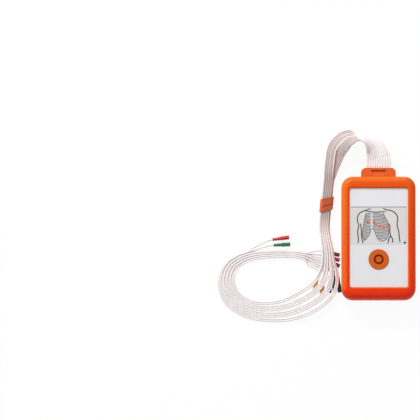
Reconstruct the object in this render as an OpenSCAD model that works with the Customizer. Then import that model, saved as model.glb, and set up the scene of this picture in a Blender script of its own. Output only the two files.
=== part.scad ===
// Handheld ten-lead heart monitor, lying on its back: a flat case in a soft bumper, one round
// button, a moulded cable hood, ten lead wires held by a sliding clip, and ten colour-coded lead tips.
// X is the width, +Y points to the cable end and +Z is the front face. Z = 0 is the back of the bumper.

/* [Bumper] */
// Width over the bumper
bumper_w = 68.6; // [64:0.2:76]
// Length over the bumper
bumper_l = 114; // [112:1:124]
// Thickness over the bumper
bumper_t = 24; // [24:0.5:27]
// Side wall of the bumper
bumper_wall = 2.8; // [2.2:0.2:3.4]
// Thickness of the lips over the front and back of the case
lip_t = 2.2; // [1.8:0.2:2.4]
// Corner radius seen from the front
corner_r = 10.5; // [10.4:0.1:13]
// Radius along the outer edges at the front
front_edge_r = 6.4; // [4:0.2:6.4]
// Radius along the outer edges at the back
back_edge_r = 5; // [3:0.5:5]
// Width of the front window
window_w = 54; // [52:0.2:56]
// Length of the front window
window_l = 92; // [88:0.2:98]
// Radius of the front lip's inner edge
lip_edge_r = 1.8; // [0.8:0.1:1.8]
// Corner radius of the windows
window_r = 2; // [1:0.5:4]
// Width of the back window
back_window_w = 52; // [44:1:54]
// Length of the back window
back_window_l = 92; // [86:1:94]

/* [Case] */
// Wall of the two shells
shell_wall = 1.8; // [1.4:0.1:2]
// Height of the rear shell
rear_h = 7.8; // [7:0.2:9]
// Distance of the screws from the sides and ends of the case
screw_in = 6; // [5.8:0.1:7]
// Outer radius of the screw posts
post_r = 2.6; // [2.3:0.1:2.8]
// Radius of the screw shank
screw_r = 0.95; // [0.8:0.05:1.1]
// Length of the screw shank
screw_l = 12; // [10:0.5:14]

/* [Front face] */
// Width of the printed film
label_w = 51.8; // [46:0.2:52]
// Length of the printed film
label_l = 35; // [30:0.2:38]
// Thickness of the printed film
label_t = 0.25; // [0.15:0.05:0.4]
// Middle of the printed film along Y
label_y = 11.2; // [10:0.1:13]
// Radius of the button cap
button_r = 9.2; // [7.5:0.1:9.6]
// Middle of the button along Y
button_y = -20.2; // [-24:0.2:-18]
// Height of the cap over the front face
button_rise = 0.8; // [0.4:0.1:1.4]
// Travel of the button
button_travel = 1; // [0.8:0.1:1.1]
// Radius of the indicator lens
lens_r = 1; // [0.7:0.1:1.2]
// Distance of the indicator lens from the film's right and lower edges
lens_in = 1.7; // [1.5:0.1:3]

/* [Battery bay] */
// Diameter of a cell
cell_d = 10.5; // [10.3:0.1:10.5]
// Length of a cell over its stud
cell_l = 44.5; // [43.5:0.1:44.5]
// Length taken by the contact spring
spring_l = 5.7; // [5:0.1:6.5]
// Middle of the bay along Y
bay_y = -5.5; // [-8:0.5:-4]
// Thickness of the battery door
door_t = 1.6; // [1.4:0.1:1.8]
// Overhang of the door round the bay
door_margin = 2.1; // [1.6:0.1:2.6]
// Radius of the door's hinge pins
pin_r = 0.6; // [0.45:0.05:0.65]

/* [Electronics] */
// Thickness of the circuit board
board_t = 1.6; // [1:0.2:1.6]

/* [Cable hood] */
// Width of the hood
hood_w = 32.2; // [30:0.2:36]
// Thickness of the hood
hood_t = 10; // [9:0.2:11]
// How far the hood stands out of the bumper
hood_out = 8.3; // [6:0.1:8.3]
// Corner radius of the hood
hood_r = 4.5; // [2:0.5:6]
// Width of the thumb recess at its deep end
grip_w = 14.4; // [10:0.2:18]
// Depth of the thumb recess
grip_depth = 2.4; // [1:0.2:3]

/* [Leads] */
// Diameter of a lead wire
wire_d = 1.7; // [1.5:0.05:1.7]
// Length of the clip along the wires
clip_l = 12; // [9:0.5:14]
// Wall of the clip
clip_wall = 1.1; // [0.9:0.1:1.2]
// Length of a lead tip with its tail
tip_l = 15.5; // [14.5:0.5:18]
// Diameter of a lead tip
tip_d = 3.9; // [3.8:0.1:4.2]
// Radius of the pin socket in a lead tip
socket_r = 0.75; // [0.6:0.05:0.9]
// Depth of the pin socket
socket_l = 9; // [7:0.5:11]

/* [Hidden] */
$fn = 64;

// Clearances
snug = 0.05;      // parts that are pressed or stretched together
slip = 0.1;       // parts that touch and may slide
free_gap = 0.2;   // parts that pass each other
swing_gap = 0.3;  // round the battery door
cut = 1;          // how far a cutting body runs past the face that it opens

// Case
case_w = bumper_w - 2 * bumper_wall;
case_l = bumper_l - 2 * bumper_wall;
case_r = corner_r - bumper_wall;
screw_x = case_w / 2 - screw_in;
screw_y = case_l / 2 - screw_in;
case_z0 = lip_t;
case_z1 = bumper_t - lip_t;
split_z = case_z0 + rear_h;
front_in_z = case_z1 - shell_wall;
tongue_h = 1.2;
tongue_t = 0.8;
screw_head_t = 1.3;
screw_head_r = 2;
screw_seat = 1.5;  // how far the heads' seats lie inside the back face

// Battery bay
bay_clear = 0.5;
bay_wall = 1.2;
bay_roof = 1;
bay_w = 2 * cell_d + 2 * bay_clear + free_gap * 5;
bay_l = cell_l + spring_l + 0.8;
plate_t = 0.4;
cell_x = cell_d / 2 + bay_clear / 2;
cell_z = case_z0 + door_t + slip + free_gap + cell_d / 2;
bay_roof_z = cell_z + cell_d / 2 + swing_gap;
bay_y0 = bay_y - bay_l / 2;
bay_y1 = bay_y + bay_l / 2;

// Battery door
door_w = bay_w + 2 * door_margin;
hinge_y = bay_y1 + door_margin - door_t / 2;
hinge_z = case_z0 + door_t / 2;
door_y0 = bay_y0 - door_margin;
pin_l = 1.3;
frame_t = door_t + 1.6;
frame_margin = 2.8;

// Board, resting on the roof of the bay
board_z = bay_roof_z + bay_roof;
board_top = board_z + board_t;
board_w = case_w - 2 * shell_wall - 2;
board_y0 = -case_l / 2 + shell_wall + 2;
board_y1 = case_l / 2 - shell_wall - 9.4;
radio_w = 13;
radio_l = 17;
radio_x = -14;
shield_in = 1;    // inset of the radio's shield from the edge of its own board
chip_w = 9;
chip_x = 10;
small_l = 1.8;    // length of the small parts
can_h = 0.9;

// Indicator
lens_x = label_w / 2 - lens_in;
lens_y = label_y - label_l / 2 + lens_in;

// Button
flange_t = 0.8;
flange_over = 1.1;
button_top = case_z1 + button_rise;
flange_z1 = front_in_z - slip;
cap_roof = 1.6;
cap_wall = 1.4;
groove_r0 = 2.8;
groove_r1 = 4.5;
groove_depth = 0.7;
plunger_r = 2;
dome_rest = 0.4;  // height of the dome when it is pressed flat
dome_h = button_travel + dome_rest;

// Cable hood
hood_z = bumper_t / 2;
hood_end_y = bumper_l / 2 + hood_out;
flange_y1 = case_l / 2 - shell_wall - free_gap;
hood_flange_t = 1.6;
hood_flange_over = 2.1;
hood_root_l = 6;
hood_root_w = 26;
hood_root_t = 7;
hood_root_y0 = flange_y1 - hood_flange_t - hood_root_l;
header_l = 6;

// ---- shared shapes -------------------------------------------------------------------------

// A rectangle with round corners, centred on the origin.
module round_rect(w, l, r) {
    square([w - 2 * r, l], center = true);
    square([w, l - 2 * r], center = true);
    for (sx = [-1, 1], sy = [-1, 1])
        translate([sx * (w / 2 - r), sy * (l / 2 - r)]) circle(r);
}

// A plate or block with round corners, from z0 to z1.
module round_block(w, l, r, z0, z1) {
    translate([0, 0, z0]) linear_extrude(z1 - z0) round_rect(w, l, r);
}

// A box centred on x and y, from z0 to z1.
module box_at(x, y, w, l, z0, z1) {
    translate([x - w / 2, y - l / 2, z0]) cube([w, l, z1 - z0]);
}

// A rod along X through the given point.
module rod_x(x0, x1, y, z, r) {
    translate([x0, y, z]) rotate([0, 90, 0]) cylinder(r = r, h = x1 - x0);
}

module at_screws() {
    for (sx = [-1, 1], sy = [-1, 1]) translate([sx * screw_x, sy * screw_y, 0]) children();
}

// ---- bumper --------------------------------------------------------------------------------

// Carries a section (x outwards from the middle of the corner, y up) round a rectangle w by l.
module carried_round(w, l, r, z0, z1) {
    in_w = w - 2 * r;
    in_l = l - 2 * r;
    box_at(0, 0, in_w, in_l, z0, z1);
    for (a = [0, 180]) rotate([0, 0, a]) {
        translate([in_w / 2, in_l / 2, 0]) rotate([90, 0, 0]) linear_extrude(in_l) children();
        rotate([0, 0, 90]) translate([in_l / 2, in_w / 2, 0]) rotate([90, 0, 0]) linear_extrude(in_w) children();
    }
    for (c = [[1, 1, 0], [-1, 1, 90], [-1, -1, 180], [1, -1, 270]])
        translate([c[0] * in_w / 2, c[1] * in_l / 2, 0]) rotate([0, 0, c[2]])
            rotate_extrude(angle = 90) children();
}

module bumper_section() {
    intersection() {
        union() {
            translate([0, back_edge_r]) square([corner_r, bumper_t - front_edge_r - back_edge_r]);
            square([corner_r - back_edge_r, bumper_t / 2]);
            translate([0, bumper_t / 2]) square([corner_r - front_edge_r, bumper_t / 2]);
            translate([corner_r - back_edge_r, back_edge_r]) circle(back_edge_r);
            translate([corner_r - front_edge_r, bumper_t - front_edge_r]) circle(front_edge_r);
        }
        square([corner_r, bumper_t]);
    }
}

// The window's cutter flares where the lip is rounded down to the front face.
module window_section() {
    translate([0, case_z1 - cut]) square([window_r, bumper_t - case_z1 + 2 * cut]);
    difference() {
        translate([0, bumper_t - lip_edge_r]) square([window_r + lip_edge_r, lip_edge_r + cut]);
        translate([window_r + lip_edge_r, bumper_t - lip_edge_r]) circle(lip_edge_r);
    }
}

module bumper() {
    color("orangered") difference() {
        carried_round(bumper_w, bumper_l, corner_r, 0, bumper_t) bumper_section();
        round_block(case_w + 2 * snug, case_l + 2 * snug, case_r + snug, case_z0, case_z1 + snug);
        carried_round(window_w, window_l, window_r, case_z1 - cut, bumper_t + cut) window_section();
        round_block(back_window_w, back_window_l, window_r, -cut, case_z0 + cut);
        box_at(0, bumper_l / 2, hood_w + 2 * snug, 2 * bumper_wall + 2 * cut,
            hood_z - hood_t / 2 - snug, hood_z + hood_t / 2 + snug);
    }
}

// ---- case ----------------------------------------------------------------------------------

// The wall that the hood passes through is open for it.
module hood_notch() {
    box_at(0, case_l / 2, hood_w + 2 * free_gap, 2 * shell_wall + 2 * cut,
        hood_z - hood_t / 2 - free_gap, hood_z + hood_t / 2 + free_gap);
}

module front_shell() {
    inner_w = case_w - 2 * shell_wall;
    inner_l = case_l - 2 * shell_wall;
    inner_r = case_r - shell_wall;
    color("whitesmoke") difference() {
        union() {
            difference() {
                round_block(case_w, case_l, case_r, split_z, case_z1);
                round_block(inner_w, inner_l, inner_r, split_z - cut, front_in_z);
            }
            // Tongue that drops inside the rear shell
            difference() {
                round_block(inner_w + 2 * tongue_t, inner_l + 2 * tongue_t, inner_r + tongue_t,
                    split_z - tongue_h, split_z + cut);
                round_block(inner_w, inner_l, inner_r, split_z - tongue_h - cut, split_z + 2 * cut);
            }
            at_screws() translate([0, 0, split_z]) cylinder(r = post_r, h = front_in_z - split_z + cut / 2);
            // Guide ring round the button's flange
            translate([0, button_y, board_top + 2 * free_gap]) difference() {
                cylinder(r = button_r + flange_over + 1.2, h = front_in_z - board_top);
                translate([0, 0, -cut])
                    cylinder(r = button_r + flange_over + free_gap, h = front_in_z - board_top + 2 * cut);
            }
        }
        translate([0, button_y, split_z]) cylinder(r = button_r + free_gap, h = bumper_t);
        translate([lens_x, lens_y, split_z]) cylinder(r = lens_r + slip, h = bumper_t);
        box_at(0, label_y, label_w + 2 * slip, label_l + 2 * slip, case_z1 - label_t - snug, case_z1 + cut);
        at_screws() translate([0, 0, split_z - cut])
            cylinder(r = screw_r + snug, h = screw_l - rear_h + 2 + cut + screw_seat);
        hood_notch();
    }
}

module rear_shell() {
    inner_w = case_w - 2 * shell_wall;
    inner_l = case_l - 2 * shell_wall;
    inner_r = case_r - shell_wall;
    color("whitesmoke") difference() {
        union() {
            difference() {
                round_block(case_w, case_l, case_r, case_z0, split_z);
                round_block(inner_w, inner_l, inner_r, case_z0 + shell_wall, split_z + cut);
                round_block(inner_w + 2 * (tongue_t + slip), inner_l + 2 * (tongue_t + slip),
                    inner_r + tongue_t + slip, split_z - tongue_h - slip, split_z + cut);
            }
            box_at(0, bay_y, bay_w + 2 * bay_wall, bay_l + 2 * bay_wall, case_z0, board_z);
            box_at(0, bay_y, door_w + 2 * frame_margin, bay_l + 2 * door_margin + 2 * frame_margin,
                case_z0, case_z0 + frame_t);
            at_screws() translate([0, 0, case_z0]) cylinder(r = post_r, h = split_z - slip - case_z0);
        }
        // Bay, and the rebate that the door lies in
        box_at(0, bay_y, bay_w, bay_l, case_z0 - cut, bay_roof_z);
        box_at(0, (door_y0 + hinge_y + door_t / 2) / 2, door_w + 2 * swing_gap,
            hinge_y + door_t / 2 - door_y0 + 2 * swing_gap, case_z0 - cut, case_z0 + door_t + slip);
        // Sockets for the door's pins, and a scoop for a fingernail at its free end
        rod_x(-door_w / 2 - swing_gap - pin_l, door_w / 2 + swing_gap + pin_l, hinge_y, hinge_z,
            pin_r + snug);
        rod_x(-5, 5, door_y0 - swing_gap, case_z0 - 0.9, 2.2);
        at_screws() {
            translate([0, 0, case_z0 - cut]) cylinder(r = screw_head_r + free_gap, h = screw_seat + cut);
            translate([0, 0, case_z0 - cut]) cylinder(r = screw_r + free_gap, h = rear_h + 2 * cut);
        }
        hood_notch();
    }
}

module case_screws() {
    color("silver") at_screws() translate([0, 0, case_z0 + screw_seat]) difference() {
        union() {
            cylinder(r = screw_r, h = screw_l);
            translate([0, 0, -screw_head_t]) cylinder(r = screw_head_r, h = screw_head_t);
        }
        for (a = [0, 90]) rotate([0, 0, a])
            box_at(0, 0, 2.2, 0.5, -screw_head_t - cut, -screw_head_t + 0.7);
    }
}

// ---- front face ----------------------------------------------------------------------------

module front_label() {
    color("gainsboro") difference() {
        box_at(0, label_y, label_w, label_l, case_z1 - label_t - snug, case_z1 - snug);
        translate([lens_x, lens_y, case_z1 - cut]) cylinder(r = lens_r + slip, h = 2 * cut);
    }
}

module indicator_lens() {
    color("royalblue") translate([lens_x, lens_y, 0]) {
        translate([0, 0, board_top + 0.9]) cylinder(r = lens_r, h = case_z1 + slip - board_top - 0.9);
        translate([0, 0, front_in_z - 0.7]) cylinder(r = lens_r + 0.8, h = 0.7);
    }
}

module power_button() {
    color("darkorange") translate([0, button_y, 0]) difference() {
        union() {
            translate([0, 0, flange_z1 - flange_t])
                cylinder(r = button_r, h = button_top - flange_z1 + flange_t);
            translate([0, 0, flange_z1 - flange_t]) cylinder(r = button_r + flange_over, h = flange_t);
        }
        // Hollow under the cap, round its plunger
        difference() {
            translate([0, 0, flange_z1 - flange_t - cut])
                cylinder(r = button_r - cap_wall, h = button_top - cap_roof - flange_z1 + flange_t + cut);
            translate([0, 0, board_top]) cylinder(r = plunger_r, h = button_top - board_top);
        }
        // Ring pressed into the face, and the dimple inside it
        translate([0, 0, button_top - groove_depth]) difference() {
            cylinder(r = groove_r1, h = groove_depth + cut);
            translate([0, 0, -cut]) cylinder(r = groove_r0, h = groove_depth + 3 * cut);
        }
        translate([0, 0, button_top + 3.8]) sphere(r = 4);
    }
    color("darkorange") translate([0, button_y, board_top + dome_h + snug])
        cylinder(r = plunger_r, h = button_top - cap_roof - board_top - dome_h);
}

module switch_dome() {
    color("dimgray") translate([0, button_y, board_top]) rotate_extrude() {
        polygon([[0, dome_h], [2.2, dome_h], [4.2, 0.5], [5.4, 0.5], [5.4, 0], [3.8, 0], [1.9, dome_h - 0.5],
            [0, dome_h - 0.5]]);
    }
}

// ---- electronics ---------------------------------------------------------------------------

module main_board() {
    color("seagreen") difference() {
        translate([0, (board_y0 + board_y1) / 2, 0])
            round_block(board_w, board_y1 - board_y0, 3, board_z, board_top);
        for (s = [-1, 1]) box_at(s * (screw_x + 2), -screw_y - 2, 2 * post_r + 5, 2 * post_r + 5,
            board_z - cut, board_top + cut);
    }
}

module radio_module() {
    y = board_y1 - 4.5 * shield_in - radio_l / 2;
    color("silver") {
        box_at(radio_x, y, radio_w, radio_l, board_top, board_top + can_h - 0.1);
        box_at(radio_x, y - 1.5 * shield_in, radio_w - 2 * shield_in, radio_l - 5 * shield_in,
            board_top + can_h - 0.1, board_top + 2 * can_h - 0.1);
    }
}

module signal_chip() {
    pitch = small_l + 0.2;
    chip_y = board_y1 - 15;
    color("dimgray") {
        box_at(chip_x, chip_y, chip_w, chip_w, board_top, board_top + can_h + 0.3);
        box_at(chip_x, chip_y - 1.6 * chip_w, chip_w - 2, chip_w - 2, board_top, board_top + can_h);
        for (i = [0:4]) box_at(chip_x + chip_w + pitch * i, chip_y - 6, small_l / 2, small_l,
            board_top, board_top + can_h);
        for (i = [0:4]) box_at(radio_x - 10 + pitch * i, board_y0 + 12.4, small_l / 2, small_l,
            board_top, board_top + can_h);
    }
}

module indicator_led() {
    color("white") box_at(lens_x, lens_y, 1.8, 1.2, board_top, board_top + 0.7);
}

module lead_header() {
    color("ivory") box_at(0, hood_root_y0 - slip - header_l / 2, hood_root_w - 4, header_l,
        hood_z - hood_root_t / 2 + 1, board_z);
}

// ---- battery bay ---------------------------------------------------------------------------

module battery_door() {
    color("whitesmoke") {
        difference() {
            union() {
                box_at(0, (door_y0 + hinge_y) / 2, door_w, hinge_y - door_y0, case_z0, case_z0 + door_t);
                rod_x(-door_w / 2, door_w / 2, hinge_y, hinge_z, door_t / 2);
                rod_x(-door_w / 2 - pin_l, door_w / 2 + pin_l, hinge_y, hinge_z, pin_r);
            }
            // Grip grooves near the free end
            for (i = [0:3]) box_at(0, door_y0 + 4 + 2 * i, 14, 0.8, case_z0 - cut, case_z0 + 0.5);
        }
    }
}

// A cell along +Y with its stud at the far end.
module cell() {
    stud_h = 0.8;
    rotate([-90, 0, 0]) {
        cylinder(r = cell_d / 2, h = cell_l - stud_h);
        cylinder(r = 1.9, h = cell_l);
    }
}

module battery_cell_a() {
    color("gray") translate([-cell_x, bay_y1 - plate_t - cell_l, cell_z]) cell();
}

module battery_cell_b() {
    color("gray") translate([cell_x, bay_y0 + plate_t + cell_l, cell_z]) rotate([0, 0, 180]) cell();
}

// Contact plate standing across the bay, its face towards +Y.
module contact_plate(x, y) {
    box_at(x, y + plate_t / 2, cell_d - 1.5, plate_t, cell_z - 4, cell_z + 4);
}

// One conical coil along +Y on a contact plate: an unbroken wire in 8 steps a turn.
spring_wire_r = 0.35;
spring_turns = 4;
module contact_coil() {
    steps = 8 * spring_turns;
    run = spring_l - plate_t - 2 * spring_wire_r;
    path = [for (i = [0:steps]) let (t = i / steps, r = 3.7 - 1.4 * t, a = 360 * spring_turns * t)
        [r * cos(a), plate_t + spring_wire_r + run * t, r * sin(a)]];
    tube(path, spring_wire_r, 6);
}

module battery_spring_a() {
    color("silver") {
        contact_plate(-cell_x, bay_y0);
        translate([-cell_x, bay_y0, cell_z]) contact_coil();
    }
}

module battery_spring_b() {
    color("silver") {
        contact_plate(cell_x, bay_y1 - plate_t);
        translate([cell_x, bay_y1, cell_z]) rotate([0, 0, 180]) contact_coil();
    }
}

module battery_plate_a() {
    color("silver") contact_plate(-cell_x, bay_y1 - plate_t);
}

module battery_plate_b() {
    color("silver") contact_plate(cell_x, bay_y0);
}

// ---- cable hood ----------------------------------------------------------------------------

module cable_hood() {
    z0 = hood_z - hood_t / 2;
    neck_y0 = flange_y1 - hood_flange_t / 2;
    color("orangered") difference() {
        union() {
            translate([0, 0, z0]) linear_extrude(hood_t) {
                translate([-hood_w / 2, neck_y0]) square([hood_w, hood_end_y - hood_r - neck_y0]);
                translate([-hood_w / 2 + hood_r, neck_y0])
                    square([hood_w - 2 * hood_r, hood_end_y - neck_y0]);
                for (s = [-1, 1]) translate([s * (hood_w / 2 - hood_r), hood_end_y - hood_r]) circle(hood_r);
            }
            box_at(0, flange_y1 - hood_flange_t / 2, hood_w + 2 * hood_flange_over, hood_flange_t,
                z0 - hood_flange_over / 2, z0 + hood_t + hood_flange_over / 2);
            box_at(0, hood_root_y0 + hood_root_l / 2, hood_root_w, hood_root_l + slip,
                hood_z - hood_root_t / 2, hood_z + hood_root_t / 2);
        }
        // Thumb recess: a ramp that sinks towards the wire end, narrower at its shallow end
        intersection() {
            translate([0, 0, z0]) linear_extrude(hood_t + cut)
                polygon([[-grip_w / 2, hood_end_y - 1.8], [grip_w / 2, hood_end_y - 1.8],
                    [grip_w / 2 - 3.4, bumper_l / 2 - 1], [-grip_w / 2 + 3.4, bumper_l / 2 - 1]]);
            translate([-grip_w, hood_end_y - 1.8, z0 + hood_t - grip_depth])
                rotate([-atan(grip_depth / (hood_out + 1)), 0, 0])
                    translate([0, -3 * hood_out, 0]) cube([2 * grip_w, 4 * hood_out, 3 * grip_depth]);
        }
    }
}

// ---- lead wires ----------------------------------------------------------------------------

// The leads leave the hood side by side as one ribbon. It arches over to the left with its inner edge
// up, and its outer half slides over its inner half on the way to the clip. Each row: x, y, height,
// roll about the way it runs, step from wire to wire, how far apart the halves are (1 is side by
// side), and how high the outer half lies over the inner half.
RIBBON = [
    [0, 65.3, 12, 0, 2.28, 1, 0], [0.2, 74, 12.6, 3, 2.24, 1, 0], [-2.6, 83.4, 13.4, 15, 1.98, 1, 0],
    [-6.8, 89.2, 14, 40, 1.88, 1, 0], [-12, 93, 14.4, 60, 1.86, 1, 0], [-17.6, 94.6, 14.4, 62, 1.86, 1, 0],
    [-23.4, 94.1, 13.8, 46, 1.86, 1, 0.2], [-30.8, 91.2, 12, 20, 1.84, 1, 0.8],
    [-37.9, 83.4, 9, 4, 1.82, 1, 1.6], [-41.2, 73.8, 6.5, 0, 1.8, 0.72, 1.85],
    [-43.6, 64.6, 4.4, 0, 1.78, 0.42, 1.84], [-45.4, 55.8, 2.9, 0, 1.75, 0.14, 1.74],
];
ribbon_steps = 2;

// From the clip on, the ten wires lie beside each other in one band with a middle line, and part
// into four groups lower down. Each row: x, y, height of the lower wires, sideways step from wire to
// wire, and the gap between the groups.
BAND = [
    [-46.2, 50, 2.3, 0.87, 0], [-47.2, 40, 2.3, 0.87, 0], [-48.2, 30, 2.3, 0.87, 0],
    [-49.2, 20, 2.3, 0.87, 0], [-49.8, 10.5, 3, 0.87, 0], [-48.9, 1, 4.6, 0.88, 0.1],
    [-47.1, -10, 5.5, 0.95, 0.3], [-46.2, -22, 5.5, 1.1, 0.6], [-46.4, -33, 5.5, 1.52, 1.4],
    [-49.4, -43.5, 5.5, 1.88, 1.8], [-57.5, -52.5, 5.5, 1.85, 2.2], [-71, -60.5, 4.2, 1.85, 2],
    [-86, -65.5, 1.3, 1.82, 1.2], [-103, -67, 0.9, 1.8, 0.4], [-120, -64.5, 0.9, 1.8, 0],
    [-135, -55, 0.9, 1.8, 0], [-141, -39, 0.9, 1.6, 0], [-136, -24, 0.9, 1.3, 0],
    [-121, -15.5, 0.9, 1.05, 0], [-104, -13, 0.9, 0.9, 0], [-88, -12.6, 0.9, 0.87, 0],
    [-76, -12.9, 0.9, 0.87, 0], [-67, -14.4, 0.9, 1.05, 0],
];
band_steps = 2;

// Lead tips, from the inner wire of the turn to the outer one: name, colour, tail x and y, heading,
// the last row of the band that its wire follows, and the points that the wire takes from there.
TIPS = [
    ["v2", "gold", -56.18, -35.43, -104.81, 22, [[-64.65, -23.76], [-56.96, -27.6]]],
    ["la", "gold", -50.76, -35.42, -96.79, 22, [[-60.84, -23.03], [-53.48, -26.19]]],
    ["v5", "dimgray", -44.96, -34.22, -90.82, 22, [[-55.38, -23.52], [-46.77, -27.21]]],
    ["ll", "seagreen", -41.24, -33.62, -87.9, 22, [[-53.62, -21.98], [-43.93, -26.41]]],
    ["rl", "dimgray", -37.47, -33.95, -83.64, 22, [[-47.94, -22.07], [-39.8, -26.78]]],
    ["v6", "indigo", -49.94, -18.56, -23.99, 22, []],
    ["ra", "crimson", -50.73, -15.29, -15.46, 22, []],
    ["v4", "saddlebrown", -50.91, -11.18, -13.04, 22, []],
    ["v3", "seagreen", -97, -5.4, 3, 18, []],
    ["v1", "crimson", -98, -0.2, 8, 18, []],
];
pack_lift = sqrt(1.08) * wire_d;

function unit(v) = v / norm(v);

// Catmull-Rom curve through the rows of a table, at row i and fraction t.
function row(table, i) = table[min(max(i, 0), len(table) - 1)];
function smooth(table, i, t) = let (
    p = row(table, i - 1),
    q = row(table, i),
    r = row(table, i + 1),
    s = row(table, i + 2))
    0.5 * (2 * q + (r - p) * t + (2 * p - 5 * q + 4 * r - s) * t * t + (3 * q - p - 3 * r + s) * t * t * t);

// Wires are numbered 0 to 9 across the hood from its left. In the band their order from its left is
// 9, 4, 8, 3 and so on, so that the two halves interleave.
function band_order(wire) = 9 - 2 * (wire % 5) - floor(wire / 5);
GROUP = [-1.5, -1.5, -0.5, -0.5, -0.5, 0.5, 0.5, 0.5, 1.5, 1.5];

function band_point(wire, k, t) = let (
    order = band_order(wire),
    c = smooth(BAND, k, t),
    ahead = smooth(BAND, k, t + 0.02) - smooth(BAND, k, t - 0.02),
    side = unit([-ahead[1], ahead[0]]),
    lift = order % 2 == 0 ? sqrt(max(0, pack_lift * pack_lift - c[3] * c[3])) : 0,
    out = (order - 4.5) * c[3] + GROUP[order] * c[4])
    [c[0] + side[0] * out, c[1] + side[1] * out, c[2] + lift];

function ribbon_point(wire, k, t) = let (
    c = smooth(RIBBON, k, t),
    ahead = unit([for (i = [0:2]) (smooth(RIBBON, k, t + 0.02) - smooth(RIBBON, k, t - 0.02))[i]]),
    left = unit(cross([0, 0, 1], ahead)),
    up = cross(ahead, left),
    inner = wire < 5,
    reach = (2 - wire % 5 + (inner ? 2.5 : -2.5) * c[5]) * c[4],
    over = inner ? 0 : c[6])
    [c[0], c[1], c[2]] + reach * (cos(c[3]) * left + sin(c[3]) * up) + over * (cos(c[3]) * up - sin(c[3]) * left);

function tip_heading(order) = let (a = TIPS[order][4]) [cos(a), sin(a), 0];
function tail_end(order) = [TIPS[order][2], TIPS[order][3], tip_d / 2 + snug];

// The points that a wire's middle line passes through, from the hood to the tail of its tip.
function wire_points(wire) = let (order = band_order(wire), tail = tail_end(order), head = tip_heading(order))
    concat([for (k = [0:len(RIBBON) - 2], s = [0:ribbon_steps - 1]) ribbon_point(wire, k, s / ribbon_steps)],
        [ribbon_point(wire, len(RIBBON) - 2, 1)],
        [for (k = [0:TIPS[order][5] - 1], s = [0:band_steps - 1]) band_point(wire, k, s / band_steps)],
        [band_point(wire, TIPS[order][5] - 1, 1)],
        [for (via = TIPS[order][6]) [via[0], via[1], BAND[14][2] + 0.3]], [tail - 4 * head, tail]);

// A closed tube along a path, with its section square to the path.
module tube(path, r, sides) {
    n = len(path);
    function ahead(i) = unit(path[min(i + 1, n - 1)] - path[max(i - 1, 0)]);
    function across(i) = let (a = ahead(i), up = abs(a[2]) > 0.9 ? [1, 0, 0] : [0, 0, 1]) unit(cross(a, up));
    points = [for (i = [0:n - 1], k = [0:sides - 1])
        let (u = across(i), v = cross(ahead(i), u), w = 360 * k / sides)
            path[i] + r * (cos(w) * u + sin(w) * v)];
    walls = [for (i = [0:n - 2], k = [0:sides - 1]) let (a = i * sides + k, b = i * sides + (k + 1) % sides)
        each [[a, b + sides, b], [a, a + sides, b + sides]]];
    ends = [[for (k = [0:sides - 1]) k], [for (k = [sides - 1:-1:0]) (n - 1) * sides + k]];
    polyhedron(points, concat(walls, ends));
}

module wire(number) {
    color("mistyrose") tube(wire_points(number), wire_d / 2, 8);
}

// ---- clip ----------------------------------------------------------------------------------

clip_at = [-47.95, 32.5, 0];
clip_turn = atan(0.1);
clip_skew = 17;    // how far the clip's ends are turned from square

module clip_section(grow) {
    pack_w = 9 * BAND[1][3] + wire_d + 2 * slip + free_gap;
    pack_h = wire_d + sqrt(pack_lift * pack_lift - BAND[1][3] * BAND[1][3]) + 2 * slip + free_gap;
    pack_z = BAND[1][2] - wire_d / 2 - slip - free_gap / 2;
    r = 0.6 + grow;
    translate([0, pack_z + pack_h / 2]) round_rect(pack_w + 2 * grow, pack_h + 2 * grow, r);
}

module wire_clip() {
    seam_w = 0.6;
    color("orangered") translate(clip_at) rotate([0, 0, -clip_turn]) difference() {
        intersection() {
            translate([0, clip_l, 0]) rotate([90, 0, 0]) linear_extrude(2 * clip_l) clip_section(clip_wall);
            rotate([0, 0, clip_skew]) box_at(0, 0, 3 * clip_l, clip_l * cos(clip_skew), -cut, bumper_t);
        }
        translate([0, 2 * clip_l, 0]) rotate([90, 0, 0]) linear_extrude(4 * clip_l) clip_section(0);
        rotate([0, 0, clip_skew + 4]) box_at(1.35, -1.2, 9.6, seam_w, BAND[1][2] + wire_d, bumper_t);
    }
}

// ---- lead tips -----------------------------------------------------------------------------

sleeve_wall = 0.45;
sleeve_bottom = 0.8;
sleeve_in = 0.6;
sleeve_l = socket_l + sleeve_bottom;

// Outline of a lead tip: x is the radius and y runs from the tail to the open end.
module tip_half() {
    r = tip_d / 2;
    tail_r = wire_d / 2 + 0.45;
    tail_l = 8;
    nose = 0.8;
    difference() {
        union() {
            polygon([[0, 0], [tail_r, 0], [r - 0.4, tail_l], [0, tail_l]]);
            translate([0, tail_l]) square([r, tip_l - tail_l - nose]);
            translate([0, tip_l - nose - slip]) square([r - nose, nose + slip]);
            translate([r - nose, tip_l - nose]) circle(nose);
        }
        for (i = [0:2]) translate([tail_r - 0.1 + 0.16 * i, 1.6 + 1.8 * i]) square([1.5, 0.7]);
        for (i = [0:2]) translate([r - 0.3, tail_l + 1.6 + 1.8 * i]) square([1, 0.8]);
        translate([0, tip_l - sleeve_in - sleeve_l]) square([socket_r + sleeve_wall + snug, tip_l]);
    }
}

module place_tip(order) {
    translate(tail_end(order)) rotate([0, 0, TIPS[order][4] - 90]) rotate([-90, 0, 0]) children();
}

module tip(order) {
    color(TIPS[order][1]) place_tip(order) rotate_extrude() tip_half();
}

module socket(order) {
    color("silver") place_tip(order) translate([0, 0, tip_l - sleeve_in - sleeve_l]) difference() {
        cylinder(r = socket_r + sleeve_wall, h = sleeve_l);
        translate([0, 0, sleeve_bottom]) cylinder(r = socket_r, h = sleeve_l);
    }
}

// ---- nodes ---------------------------------------------------------------------------------

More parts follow.
